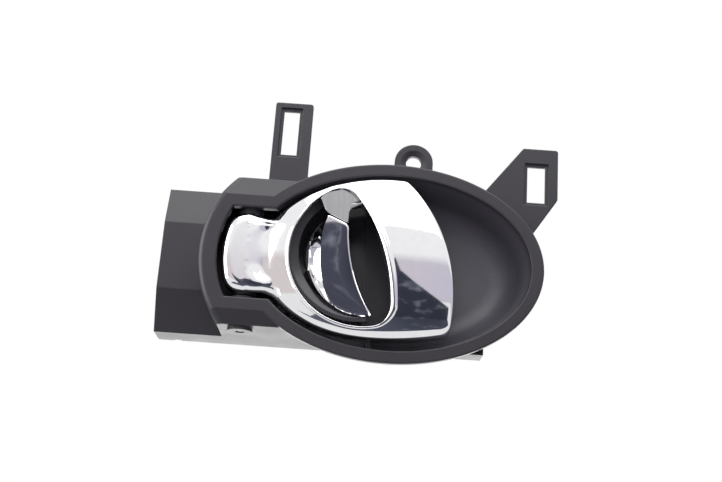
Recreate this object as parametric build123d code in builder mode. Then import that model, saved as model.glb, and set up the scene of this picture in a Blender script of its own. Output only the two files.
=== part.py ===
"""Car interior door handle: a black moulded housing with an oval finger pocket, a plated pull
lever on a vertical pin and a plated lock knob that rocks inside the lever's eye.

Millimetres. X runs to the right of the handle as it is seen, Y into the door and Z up.
The origin is the centre of the fixing hole, on the back face of its ear.
"""

import os
from math import cos, radians, sin, sqrt

from build123d import *

# Oval rim
RIM_LENGTH = 137.0
RIM_HEIGHT = 93.0
RIM_WIDTH = 5.6
RIM_DEPTH = 3.0
RIM_EDGE_RADIUS = 0.6
WALL = 2.2

# Fixing ear
EAR_RIGHT = 7.6
EAR_UP = 50.2
EAR_RADIUS = 8.9
EAR_FRONT = 5.0
EAR_THICKNESS = 3.5
FIXING_HOLE = 7.2
FIXING_CONE = 12.0
FIXING_CONE_DEPTH = 1.0

# Arm around the lever's neck
ARM_REACH = 78.5
ARM_OPENING = 42.6
ARM_END_RADIUS = 45.5
ARM_BORDER = 8.5
ARM_EDGE_RADIUS = 3.0
ARM_LIP = 4.0
SHOULDER_DROP = 2.5

# Box behind the arm and the stepped block at its left
BOX_TOP = 36.0
BOX_BOTTOM = 33.4
BOX_DEPTH = 43.6
BLOCK_REACH = 107.0
BLOCK_FRONT = 20.0
BLOCK_FLAT_TOP = 18.0
BLOCK_FLAT_BOTTOM = 14.2
BLOCK_TOP_DROP = 5.5
BLOCK_BOTTOM_DROP = 7.5
BLOCK_NOTCH_RADIUS = 1.8
BLOCK_NOTCH_INSET = 9.4

# Finger pocket and the shelf under the lever
POCKET_DEPTH = 27.0
POCKET_DRAW_IN = 6.0
POCKET_FLOOR_RADIUS = 13.0
PARTING_LEAN = 16.0
PARTING_LEFT = 17.5
PARTING_TOP = 7.0
SHELF_DEPTH = 14.5
SHELF_REACH = 51.0

# Dish around the lock knob
DISH_LEFT = 15.3
DISH_UP = 4.6
DISH_RADIUS = 31.0
DISH_EDGE = 1.8
DISH_GAP = 0.8
DISH_TOP_DEPTH = 3.4
DISH_STEP_RADIUS = 26.9
DISH_STEP_DEPTH = 5.0
DISH_STEP_DROP = 0.8
DISH_FLOOR_RADIUS = 23.5

# Fixing tabs
TAB_DEPTH = 7.0
TAB_THICKNESS = 2.6
LEFT_TAB_INNER = 41.2
LEFT_TAB_OUTER = 59.0
LEFT_TAB_TOP = 77.0
LEFT_SLOT = (7.4, 22.2)
LEFT_SLOT_CENTRE = (-51.1, 62.0)
RIGHT_TAB_OUTER = 75.3
RIGHT_TAB_TOP = 62.0
RIGHT_TAB_SHOULDER = 59.0
RIGHT_TAB_LOW = 37.2
RIGHT_SLOT = (8.4, 17.8)
RIGHT_SLOT_CENTRE = (65.4, 44.4)
SLOT_LEDGE = 1.4
SLOT_LEDGE_DEPTH = 1.1
RIGHT_TAB_ROOT = (36.0, 32.0)
RIGHT_TAB_FOOT = (58.0, 10.6)
TAB_CORNER_RADIUS = 1.2
LUG_RIGHT = 43.2
LUG_WIDTH = 14.0
LUG_DOWN = 38.2
LUG_DEPTH = (8.0, 20.0)

# Lever hinge
HINGE_INSET = 11.3
HINGE_DEPTH = 9.5
LEVER_PIN = 4.0
LEVER_PIN_HOLD = 8.65
LEVER_PIN_RECESS = 0.3
PIN_SEAT_CLEARANCE = 0.03
PIN_RUNNING_CLEARANCE = 0.05
PIN_CHAMFER = 0.4
HINGE_SIDE_GAP = 0.35
BOSS_RADIUS = 5.7
BOSS_STAND_OUT = 1.5

# Pull lever
LEVER_GAP = 2.4
LEVER_RISE = 0.6
NECK_GAP = 1.6
NECK_SIDE_GAP = 2.3
NECK_LENGTH = 19.7
NECK_TOP = 0.7
NECK_BACK = 12.0
NECK_CORNER_RADIUS = 6.0
NECK_EDGE_RADIUS = 4.5
NECK_VALLEY_RADIUS = 8.0
LEVER_CREST = 10.0
LEVER_CREST_LEFT = 4.0
LEVER_BOW = 126.0
LEVER_CROWN = 105.0
LEVER_WALL = 2.4
LEVER_SKIRT = 5.5
LEVER_EDGE_RADIUS = 1.5
GRIP_BOW = 82.1
GRIP_BOW_CENTRE = (-53.7, -18.9)
GRIP_TOP_RADIUS = 4.0
GRIP_CORNER_RADIUS = 7.0
EYE_RADIUS = 33.6
EYE_CENTRE = (-12.6, 1.6)
EYE_BOW = 94.1
EYE_BOW_CENTRE = (-93.3, -27.4)
EYE_TOP_RADIUS = 7.0
EYE_LOW_RADIUS = 8.0
BEAD_WIDTH = 2.7
BEAD_RISE = 0.9
EYE_WALL_BACK = 1.5
TONGUE_TIP = (-20.6, 15.9)
TONGUE_TIP_LENGTH = 8.1
TONGUE_TIP_LEAN = 13.0
TONGUE_LEFT_LEAN = 31.0
TONGUE_RIGHT_LEAN = 18.0
TONGUE_FRONT = 3.0
TONGUE_THICKNESS = 1.8
KNUCKLE_RADIUS = 5.4
KNUCKLE_WIDTH = 4.4
CABLE_ARM_LENGTH = 19.0
CABLE_ARM_LEAN = 20.0
CABLE_ARM_WIDTH = 8.0
CABLE_ARM_SWEEP = 10.5
CABLE_EYE = 4.6
FLOOR_SLOT_GAP = 0.8

# Lever return spring
COIL_WIRE = 1.2
COIL_RADIUS = 3.8
COIL_TURNS = 5
COIL_PITCH = 1.5
FIXED_LEG = 18.5
FIXED_LEG_LEAN = 17.0
MOVING_LEG = 9.0

# Lever stops
STOP_LEFT = 46.5
STOP_RADIUS = 1.4
STOP_HEIGHT = 2.6
STOP_GAP = 0.3
STOP_STEM_RADIUS = 0.9
STOP_STEM_LENGTH = 4.0
STOP_POST_RADIUS = 3.0

# Lock knob, rocker and pin
KNOB_RADIUS = 26.0
KNOB_CENTRE = (-11.7, 2.0)
KNOB_FLANK_RADIUS = 32.2
KNOB_FLANK_CENTRE = (-1.2, 2.3)
KNOB_BOW = 73.4
KNOB_BOW_CENTRE = (53.3, 16.2)
KNOB_TOP_GAP = 0.6
KNOB_BACK = 3.0
KNOB_CREST = 3.0
KNOB_CROWN = 110.0
KNOB_CROWN_CENTRE = (-20.0, 0.0)
KNOB_EDGE_RADIUS = 0.7
LOCK_LEFT = 33.0
LOCK_DEPTH = 11.0
LOCK_PIN = 3.0
LOCK_HUB_RADIUS = 3.2
LOCK_HUB_LENGTH = 14.0
LOCK_LUG_RADIUS = 3.2
LOCK_LUG_WIDTH = 2.6
LOCK_SIDE_GAP = 0.35
ROCKER_PLATE = 2.0
ROCKER_INSET = 2.0
ROCKER_STEM = 5.0
ROCKER_RIB = 12.0
LOCK_ARM_LENGTH = 24.0
LOCK_ARM_WIDTH = 6.0
LOCK_ARM_THICKNESS = 4.0
LOCK_EYE = 3.0
LOCK_SLOT = 12.9
LOCK_SLOT_SHIFT = 1.5

# Lock detent spring
CAM_RADIUS = 9.5
CAM_WIDTH = 9.0
CAM_THICKNESS = 4.6
CAM_NOTCH = 1.3
CAM_STEP = 18.0
LEAF_THICKNESS = 0.5
LEAF_WIDTH = 4.6
LEAF_SPACE = 0.8
LEAF_BUMP = 1.3
LEAF_LEFT = 48.0
LEAF_RIGHT = 27.0
LEAF_SEAT = 0.04
LEAF_BLOCK = (5.0, 7.0)

# Cable anchor rib
ANCHOR_LEFT = 91.0
ANCHOR_THICKNESS = 3.0
ANCHOR_NOTCH = 6.4

# Views of the handle: front, from above and from the right, all from the rim's centre
CENTRE = Vector(-EAR_RIGHT, -EAR_FRONT - EAR_THICKNESS, -EAR_UP)
FRONT = Plane(origin=CENTRE, x_dir=(1, 0, 0), z_dir=(0, -1, 0))
ABOVE = Plane(origin=CENTRE, x_dir=(1, 0, 0), z_dir=(0, 0, -1))
SIDE = Plane(origin=CENTRE, x_dir=(0, 0, 1), z_dir=(1, 0, 0))

# Places and fits that follow from the sizes above
LEAN = radians(PARTING_LEAN)
PARTING = Plane(
    origin=FRONT.from_local_coords((-PARTING_LEFT, 0, 0)),
    x_dir=(-sin(LEAN), 0, cos(LEAN)),
    z_dir=(cos(LEAN), 0, sin(LEAN)),
)
INNER = (RIM_LENGTH / 2 - RIM_WIDTH, RIM_HEIGHT / 2 - RIM_WIDTH)
HEAD = (INNER[0] - LEVER_GAP, INNER[1] - LEVER_GAP - LEVER_RISE)
ARM_CENTRE = ARM_END_RADIUS - ARM_REACH
RIDGE = ARM_OPENING / 2 + RIM_WIDTH
SHELF_BACK = SHELF_DEPTH + WALL
NECK_LEFT = ARM_REACH - NECK_GAP
NECK_RIGHT = NECK_LEFT - NECK_LENGTH
NECK_HEIGHT = ARM_OPENING - 2 * NECK_SIDE_GAP
HINGE_LEFT = NECK_LEFT - HINGE_INSET
HINGE = (-HINGE_LEFT, -HINGE_DEPTH)
LOCK = (-LOCK_LEFT, -LOCK_DEPTH)
BOSS_FACE = NECK_HEIGHT / 2 + HINGE_SIDE_GAP
LEVER_PIN_TOP = BOSS_FACE + LEVER_PIN_HOLD
LEVER_PIN_BOTTOM = BOX_BOTTOM + BOSS_STAND_OUT - LEVER_PIN_RECESS
LUG_FACE = LOCK_HUB_LENGTH / 2 + LOCK_SIDE_GAP
KNUCKLE_MIDDLE = (NECK_HEIGHT - KNUCKLE_WIDTH) / 2
STOP_SEAT = LEVER_SKIRT + STOP_GAP + STOP_HEIGHT
STOP_UP = (HEAD[1] - LEVER_WALL / 2) * sqrt(1 - (STOP_LEFT / (HEAD[0] - LEVER_WALL / 2)) ** 2)
STOPS = ((-STOP_LEFT, LEVER_RISE + STOP_UP), (-STOP_LEFT, LEVER_RISE - STOP_UP))
CAM_UP = LOCK_HUB_LENGTH / 2 - CAM_THICKNESS / 2
LEAF_DEPTH = LOCK_DEPTH + CAM_RADIUS + LEAF_SPACE
CROWN_AXIS = Axis(FRONT.from_local_coords((0, 0, LEVER_CREST - LEVER_CROWN)), (1, 0, 0))
LEG_LEAN = radians(FIXED_LEG_LEAN)
COIL_HEIGHT = COIL_PITCH * (COIL_TURNS - FIXED_LEG_LEAN / 360)
ARM_TIP = (
    HINGE[0] - CABLE_ARM_LENGTH * sin(radians(CABLE_ARM_LEAN)),
    HINGE[1] - CABLE_ARM_LENGTH * cos(radians(CABLE_ARM_LEAN)),
)


def front(depth):
    """Front view plane, this far behind the rim's face."""
    return FRONT.offset(-depth)


def above(height):
    """Plan view plane, this far above the rim's centre. It faces down."""
    return ABOVE.offset(-height)


def side(right):
    """Side view plane, this far to the right of the rim's centre."""
    return SIDE.offset(right)


def box_outline(inset):
    """Box behind the arm: a round left end between a top and a bottom wall."""
    with BuildSketch(Plane.XY, mode=Mode.PRIVATE) as outline:
        with Locations((ARM_CENTRE, 0)):
            Circle(ARM_END_RADIUS + ARM_BORDER - inset)
        with Locations((-PARTING_LEFT - inset, (BOX_TOP - BOX_BOTTOM) / 2)):
            Rectangle(
                BLOCK_REACH,
                BOX_TOP + BOX_BOTTOM - 2 * inset,
                align=(Align.MAX, Align.CENTER),
                mode=Mode.INTERSECT,
            )
    return outline.sketch


def block_outline(inset):
    """Block from the side: a flat front between two sloping faces."""
    with BuildSketch(Plane.XY, mode=Mode.PRIVATE) as outline:
        with BuildLine():
            Polyline(
                (BOX_TOP, -BOX_DEPTH),
                (BOX_TOP, -BLOCK_FRONT - BLOCK_TOP_DROP),
                (BLOCK_FLAT_TOP, -BLOCK_FRONT),
                (-BLOCK_FLAT_BOTTOM, -BLOCK_FRONT),
                (-BOX_BOTTOM, -BLOCK_FRONT - BLOCK_BOTTOM_DROP),
                (-BOX_BOTTOM, -BOX_DEPTH),
                close=True,
            )
        make_face()
        if inset:
            offset(amount=-inset, kind=Kind.INTERSECTION)
    return outline.sketch


def eye_outline(border):
    """Lever's eye: a round left side closed by a nearly straight right side."""
    with BuildSketch(Plane.XY, mode=Mode.PRIVATE) as outline:
        with Locations(EYE_CENTRE):
            Circle(EYE_RADIUS + border)
        with Locations(EYE_BOW_CENTRE):
            Circle(EYE_BOW + border, mode=Mode.INTERSECT)
        fillet(outline.vertices().sort_by(Axis.Y)[-1], EYE_TOP_RADIUS + border)
        fillet(outline.vertices().sort_by(Axis.Y)[0], EYE_LOW_RADIUS + border)
    return outline.sketch


def head_outline(inset):
    """Lever's head: the oval opening less a gap, cut by the grip's bowed edge."""
    with BuildSketch(Plane.XY, mode=Mode.PRIVATE) as outline:
        with Locations((0, LEVER_RISE)):
            Ellipse(HEAD[0] - inset, HEAD[1] - inset)
        with Locations(GRIP_BOW_CENTRE):
            Circle(GRIP_BOW - inset, mode=Mode.INTERSECT)
    return outline.sketch


def neck_body(inset):
    """Lever's neck: a flat block with a bowed left end, rolled edges and a round right shoulder."""
    with BuildPart(mode=Mode.PRIVATE) as body:
        with BuildSketch(front(NECK_BACK)):
            with Locations((ARM_CENTRE, 0)):
                Circle(NECK_LEFT + ARM_CENTRE - inset)
            with Locations((-NECK_RIGHT - inset, 0)):
                Rectangle(
                    NECK_LEFT,
                    NECK_HEIGHT - 2 * inset,
                    align=(Align.MAX, Align.CENTER),
                    mode=Mode.INTERSECT,
                )
        extrude(amount=NECK_BACK + NECK_TOP - inset)
        fillet(body.edges().filter_by(Axis.Y).group_by(Axis.X)[0], NECK_CORNER_RADIUS - inset)
        shoulder = body.faces().sort_by(Axis.Y)[0].edges().sort_by(Axis.X)[-1]
        fillet(shoulder, NECK_VALLEY_RADIUS - inset)
        roll = body.faces().sort_by(Axis.Y)[0].edges().sort_by(Axis.X)[:-1]
        fillet(roll, NECK_EDGE_RADIUS - inset)
    return body.part


def lever_section(inset):
    """Lever's head from above: one long bow."""
    with BuildSketch(Plane.XY, mode=Mode.PRIVATE) as section:
        with Locations((-LEVER_CREST_LEFT, LEVER_CREST - LEVER_BOW)):
            Circle(LEVER_BOW - inset)
        Rectangle(2 * BLOCK_REACH, 2 * SHELF_BACK, mode=Mode.INTERSECT)
    return section.sketch


def knob_window(inset):
    """Lock knob's edges beside its flank: the bowed finger edge and the straight end at the tongue."""
    with BuildSketch(Plane.XY, mode=Mode.PRIVATE) as window:
        with Locations(Location(TONGUE_TIP, -TONGUE_TIP_LEAN)):
            with Locations((0, -KNOB_TOP_GAP - inset)):
                Rectangle(4 * KNOB_RADIUS, 3 * KNOB_RADIUS, align=(Align.CENTER, Align.MAX))
        with Locations(KNOB_BOW_CENTRE):
            Circle(KNOB_BOW + inset, mode=Mode.SUBTRACT)
    return window.sketch


def pocket_body(grow, start):
    """Drawn-in oval bowl with a round floor: the pocket's space, grown by part of its wall."""
    with BuildPart(mode=Mode.PRIVATE) as body:
        with BuildSketch(front(start)):
            Ellipse(INNER[0] + grow, INNER[1] + grow, rotation=180)
        with BuildSketch(front(POCKET_DEPTH + grow)):
            Ellipse(INNER[0] + grow - POCKET_DRAW_IN, INNER[1] + grow - POCKET_DRAW_IN, rotation=180)
        loft()
        fillet(body.faces().sort_by(Axis.Y)[-1].edges(), POCKET_FLOOR_RADIUS + grow)
    return body.part


# Shelf under the lever and the leaning wall beside the pocket
with BuildPart() as works_cover:
    with BuildSketch(front(SHELF_DEPTH)):
        with Locations(Location((-PARTING_LEFT, 0), PARTING_LEAN)):
            Rectangle(BLOCK_REACH, BLOCK_REACH, align=(Align.MAX, Align.CENTER))
        with Locations((-SHELF_REACH, 0)):
            Rectangle(SHELF_REACH, RIM_HEIGHT, align=(Align.MIN, Align.CENTER), mode=Mode.INTERSECT)
    extrude(amount=-WALL)
    with BuildSketch(front(PARTING_TOP)):
        with Locations(Location((-PARTING_LEFT, 0), PARTING_LEAN)):
            Rectangle(WALL, RIM_HEIGHT, align=(Align.MAX, Align.CENTER))
    extrude(amount=PARTING_TOP - POCKET_DEPTH - WALL)
    add(pocket_body(WALL / 2, RIM_DEPTH / 2), mode=Mode.INTERSECT)

# Space for the mechanism behind the shelf, left of the leaning wall and open at the back
with BuildPart() as works_space:
    with BuildSketch(front(SHELF_BACK)):
        Ellipse(INNER[0] - POCKET_DRAW_IN, INNER[1] - POCKET_DRAW_IN, rotation=180)
    extrude(amount=SHELF_BACK - POCKET_DEPTH - WALL)
    with BuildSketch(front(SHELF_BACK)):
        add(box_outline(WALL))
    extrude(amount=SHELF_BACK - BOX_DEPTH)
    split(bisect_by=PARTING.offset(-WALL), keep=Keep.BOTTOM)

# Stepped dish around the lock knob, left of the leaning wall
with BuildPart() as dish_ring:
    with BuildSketch(above(DISH_UP)):
        with BuildLine():
            Polyline(
                (-DISH_LEFT - DISH_RADIUS - DISH_EDGE, -SHELF_BACK),
                (-DISH_LEFT - DISH_RADIUS - DISH_EDGE, -DISH_TOP_DEPTH),
                (-DISH_LEFT - DISH_RADIUS, -DISH_TOP_DEPTH),
                (-DISH_LEFT - DISH_STEP_RADIUS, -DISH_STEP_DEPTH),
                (-DISH_LEFT - DISH_STEP_RADIUS, -DISH_STEP_DEPTH - DISH_STEP_DROP),
                (-DISH_LEFT - DISH_FLOOR_RADIUS, -SHELF_BACK),
                close=True,
            )
        make_face()
    revolve(axis=Axis(FRONT.from_local_coords((-DISH_LEFT, DISH_UP, 0)), (0, 1, 0)))
    split(bisect_by=PARTING, keep=Keep.BOTTOM)
    with BuildSketch(front(SHELF_BACK)):
        add(head_outline(LEVER_WALL + DISH_GAP))
    extrude(amount=SHELF_BACK, mode=Mode.INTERSECT)

with BuildPart() as housing:
    # Box and arm with sloping shoulders and a round end
    with BuildSketch(FRONT):
        add(box_outline(0))
    extrude(amount=-BOX_DEPTH)
    face = housing.faces().sort_by(Axis.Y)[0]
    chamfer(face.edges().sort_by(Axis.Z)[-1], BOX_TOP - RIDGE, SHOULDER_DROP, reference=face)
    face = housing.faces().sort_by(Axis.Y)[0]
    chamfer(face.edges().sort_by(Axis.Z)[0], BOX_BOTTOM - RIDGE, SHOULDER_DROP, reference=face)
    end = housing.faces().filter_by(GeomType.CYLINDER).sort_by(Axis.X)[0]
    fillet(end.edges().filter_by(Axis.Y, reverse=True).sort_by(Axis.Y)[:-1], ARM_EDGE_RADIUS)
    # Stepped block at the left
    with BuildSketch(side(-BLOCK_REACH)):
        add(block_outline(0))
    extrude(amount=BLOCK_REACH - HINGE_LEFT)
    # Rim and the outside of the pocket
    with BuildSketch(FRONT):
        Ellipse(RIM_LENGTH / 2, RIM_HEIGHT / 2, rotation=180)
    extrude(amount=-RIM_DEPTH)
    add(pocket_body(WALL, RIM_DEPTH / 2))
    # Fixing ear, tabs and locating lug
    with BuildSketch(front(EAR_FRONT)):
        with Locations((EAR_RIGHT, EAR_UP)):
            Circle(EAR_RADIUS)
            Rectangle(2 * EAR_RADIUS, EAR_UP - INNER[1], align=(Align.CENTER, Align.MAX))
    extrude(amount=-EAR_THICKNESS)
    with BuildSketch(front(TAB_DEPTH)) as tabs:
        with Locations((-LEFT_TAB_INNER, LEFT_TAB_TOP)):
            Rectangle(
                LEFT_TAB_OUTER - LEFT_TAB_INNER,
                LEFT_TAB_TOP - BOX_TOP + WALL,
                align=(Align.MAX, Align.MAX),
            )
        with BuildLine():
            Polyline(
                RIGHT_TAB_ROOT,
                (RIGHT_TAB_SHOULDER, RIGHT_TAB_TOP),
                (RIGHT_TAB_OUTER, RIGHT_TAB_TOP),
                (RIGHT_TAB_OUTER, RIGHT_TAB_LOW),
                RIGHT_TAB_FOOT,
                close=True,
            )
        make_face()
        fillet(tabs.vertices().filter_by_position(Axis.Y, BOX_TOP, EAR_UP * 2), TAB_CORNER_RADIUS)
    extrude(amount=-TAB_THICKNESS)
    with BuildSketch(front(LUG_DEPTH[0])):
        with Locations((LUG_RIGHT, -LUG_DOWN)):
            Rectangle(LUG_WIDTH, LUG_WIDTH, align=(Align.MAX, Align.MIN))
    extrude(amount=LUG_DEPTH[0] - LUG_DEPTH[1])
    # Opening, pocket and the spaces behind
    add(pocket_body(0, 0), mode=Mode.SUBTRACT)
    with BuildSketch(FRONT):
        with Locations((ARM_CENTRE, 0)):
            Circle(ARM_END_RADIUS)
            Rectangle(
                ARM_END_RADIUS,
                ARM_OPENING,
                align=(Align.MAX, Align.CENTER),
                mode=Mode.INTERSECT,
            )
        with Locations((-SHELF_REACH, 0)):
            Rectangle(ARM_REACH, RIM_HEIGHT, align=(Align.MAX, Align.CENTER), mode=Mode.INTERSECT)
    extrude(amount=-ARM_LIP, mode=Mode.SUBTRACT)
    face = housing.faces().sort_by(Axis.Y)[0]
    fillet(face.inner_wires()[0].edges(), RIM_EDGE_RADIUS)
    face = housing.faces().sort_by(Axis.Y)[0]
    fillet(face.outer_wire().edges().filter_by(GeomType.ELLIPSE), RIM_EDGE_RADIUS)
    with BuildSketch(front(ARM_LIP)):
        add(box_outline(WALL))
        with Locations((-SHELF_REACH, 0)):
            Rectangle(ARM_REACH, RIM_HEIGHT, align=(Align.MAX, Align.CENTER), mode=Mode.INTERSECT)
    extrude(amount=ARM_LIP - SHELF_BACK, mode=Mode.SUBTRACT)
    add(works_space.part, mode=Mode.SUBTRACT)
    with BuildSketch(side(WALL - BLOCK_REACH)):
        add(block_outline(WALL))
        with Locations(((BOX_TOP - BOX_BOTTOM) / 2, -BOX_DEPTH)):
            Rectangle(BOX_TOP + BOX_BOTTOM - 2 * WALL, 4 * WALL)
    extrude(amount=BLOCK_REACH - WALL - HINGE_LEFT, mode=Mode.SUBTRACT)
    # Floor behind the lever's neck, slotted for its cable arm
    with BuildSketch(front(BLOCK_FRONT)):
        add(box_outline(WALL / 2))
        with Locations((-SHELF_REACH, 0)):
            Rectangle(ARM_REACH, RIM_HEIGHT, align=(Align.MAX, Align.CENTER), mode=Mode.INTERSECT)
        with Locations((HINGE[0], KNUCKLE_MIDDLE)):
            Rectangle(2 * CABLE_ARM_SWEEP, KNUCKLE_WIDTH + 2 * FLOOR_SLOT_GAP, mode=Mode.SUBTRACT)
    extrude(amount=-WALL)
    # Dish, hinge bosses, lock pin lugs, stop posts, detent block and cable anchor rib
    add(works_cover.part)
    add(dish_ring.part)
    with BuildSketch(above(BOX_TOP - WALL / 2)):
        with Locations(HINGE):
            Circle(BOSS_RADIUS)
    extrude(amount=BOX_TOP - WALL / 2 - BOSS_FACE)
    with BuildSketch(above(-BOSS_FACE)):
        with Locations(HINGE):
            Circle(BOSS_RADIUS)
    extrude(amount=BOX_BOTTOM + BOSS_STAND_OUT - BOSS_FACE)
    for lug_top in (LUG_FACE + LOCK_LUG_WIDTH, -LUG_FACE):
        with BuildSketch(above(lug_top + DISH_UP)):
            with Locations(LOCK):
                Circle(LOCK_LUG_RADIUS)
                Rectangle(
                    2 * LOCK_LUG_RADIUS,
                    SHELF_BACK - LOCK_DEPTH,
                    align=(Align.CENTER, Align.MAX),
                )
        extrude(amount=LOCK_LUG_WIDTH)
    with BuildSketch(front(STOP_SEAT)):
        with Locations(*STOPS):
            Circle(STOP_POST_RADIUS)
    extrude(amount=STOP_SEAT - SHELF_BACK)
    with BuildSketch(above(CAM_UP + DISH_UP)):
        with Locations((-LEAF_LEFT, -SHELF_DEPTH - WALL / 2)):
            Rectangle(*LEAF_BLOCK, align=(Align.CENTER, Align.MAX))
    extrude(amount=LEAF_WIDTH / 2 + WALL, both=True)
    with BuildSketch(side(-ANCHOR_LEFT)):
        add(block_outline(WALL / 2))
        with Locations((KNUCKLE_MIDDLE, ARM_TIP[1]), (DISH_UP, LOCK[1] - LOCK_ARM_LENGTH)):
            Circle(ANCHOR_NOTCH / 2, mode=Mode.SUBTRACT)
            Rectangle(ANCHOR_NOTCH, BOX_DEPTH, align=(Align.CENTER, Align.MAX), mode=Mode.SUBTRACT)
    extrude(amount=ANCHOR_THICKNESS)
    # Pin bores, rocker slot, stop holes and the leaf's seat
    with BuildSketch(above(LEVER_PIN_TOP)):
        with Locations(HINGE):
            Circle(LEVER_PIN / 2 + PIN_SEAT_CLEARANCE)
    extrude(amount=LEVER_PIN_TOP + BOX_BOTTOM + BOSS_STAND_OUT, mode=Mode.SUBTRACT)
    with BuildSketch(above(DISH_UP)):
        with Locations(LOCK):
            Circle(LOCK_PIN / 2 + PIN_SEAT_CLEARANCE)
    extrude(amount=LUG_FACE + LOCK_LUG_WIDTH, both=True, mode=Mode.SUBTRACT)
    with BuildSketch(front(SHELF_DEPTH)):
        with Locations((LOCK_SLOT_SHIFT - LOCK_LEFT, DISH_UP)):
            Rectangle(LOCK_SLOT, 2 * LUG_FACE)
    extrude(amount=-WALL, mode=Mode.SUBTRACT)
    with BuildSketch(front(STOP_SEAT)):
        with Locations(*STOPS):
            Circle(STOP_STEM_RADIUS + PIN_SEAT_CLEARANCE)
    extrude(amount=-STOP_STEM_LENGTH - STOP_GAP, mode=Mode.SUBTRACT)
    with BuildSketch(above(CAM_UP + DISH_UP)):
        with Locations((-LEAF_LEFT, -LEAF_DEPTH)):
            Rectangle(LEAF_BLOCK[0], LEAF_THICKNESS + 2 * LEAF_SEAT)
    extrude(amount=LEAF_WIDTH / 2 + LEAF_SEAT, both=True, mode=Mode.SUBTRACT)
    # Fixing hole, tab slots with their ledges and the notch in the block's floor
    with BuildSketch(front(EAR_FRONT)):
        with Locations((EAR_RIGHT, EAR_UP)):
            Circle(FIXING_HOLE / 2)
    extrude(amount=-EAR_THICKNESS, mode=Mode.SUBTRACT)
    with BuildSketch(front(EAR_FRONT)):
        with Locations((EAR_RIGHT, EAR_UP)):
            Circle(FIXING_CONE / 2)
    with BuildSketch(front(EAR_FRONT + FIXING_CONE_DEPTH)):
        with Locations((EAR_RIGHT, EAR_UP)):
            Circle(FIXING_HOLE / 2)
    loft(mode=Mode.SUBTRACT)
    for centre, slot in ((LEFT_SLOT_CENTRE, LEFT_SLOT), (RIGHT_SLOT_CENTRE, RIGHT_SLOT)):
        with BuildSketch(front(TAB_DEPTH)):
            with Locations(centre):
                Rectangle(*slot)
        extrude(amount=-TAB_THICKNESS, mode=Mode.SUBTRACT)
        with BuildSketch(front(TAB_DEPTH)):
            with Locations(centre):
                Rectangle(slot[0] + 2 * SLOT_LEDGE, slot[1] + 2 * SLOT_LEDGE)
        extrude(amount=-SLOT_LEDGE_DEPTH, mode=Mode.SUBTRACT)
    with BuildSketch(above(-BOX_BOTTOM)):
        with Locations((BLOCK_NOTCH_INSET - BLOCK_REACH, -BOX_DEPTH)):
            Circle(BLOCK_NOTCH_RADIUS)
    extrude(amount=WALL, both=True, mode=Mode.SUBTRACT)
    housing.part.label = "housing"


# Space inside the lever's shell
with BuildPart() as lever_space:
    with BuildSketch(front(SHELF_BACK)):
        add(head_outline(LEVER_WALL))
    extrude(amount=2 * SHELF_BACK)
    fillet(lever_space.edges().filter_by(Axis.Y).sort_by(Axis.Z)[0], GRIP_CORNER_RADIUS - LEVER_WALL)
    with BuildSketch(ABOVE):
        add(lever_section(LEVER_WALL))
    revolve(axis=CROWN_AXIS, mode=Mode.INTERSECT)

# Raised bead and wall around the lever's eye
with BuildPart() as eye_wall:
    with BuildSketch(front(EYE_WALL_BACK)):
        add(eye_outline(BEAD_WIDTH))
    extrude(amount=2 * SHELF_BACK)
    with BuildSketch(ABOVE):
        add(lever_section(-BEAD_RISE))
    revolve(axis=CROWN_AXIS, mode=Mode.INTERSECT)

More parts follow.
